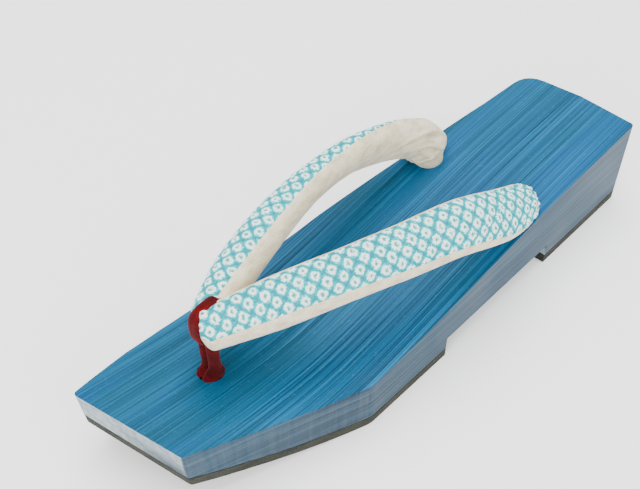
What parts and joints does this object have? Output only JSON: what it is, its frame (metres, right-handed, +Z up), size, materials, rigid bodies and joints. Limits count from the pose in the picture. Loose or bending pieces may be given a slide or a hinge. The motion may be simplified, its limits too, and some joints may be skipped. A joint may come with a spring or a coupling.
{
  "type": "geta sandal",
  "caption": "Left wooden thong sandal: one-piece sole with hollowed foot-bed, clipped toe, arch recess, rubber soles and a padded V-shaped cloth strap held by a velvet toe loop.",
  "frame": {"origin": "on the floor at the middle of the sandal's bounding box", "axes": "+Y from heel to toe, +X to the inner (big toe) side, +Z up"},
  "size_m": [0.0792, 0.2502, 0.0709],
  "materials": {
    "stained_wood": "blue stain with brushed grain and satin clear coat",
    "sole_rubber": "matt dark olive",
    "strap_print": "puckered tie-dyed cloth, white rings on turquoise",
    "strap_velveteen": "cream velveteen",
    "loop_velvet": "dark red velvet"
  },
  "bodies": {
    "root": {"body": "stained_wood", "forefoot_rubber": "sole_rubber", "heel_rubber": "sole_rubber", "strap_cover": "strap_print", "strap_lining": "strap_velveteen", "toe_loop": "loop_velvet"}
  },
  "joints": []
}
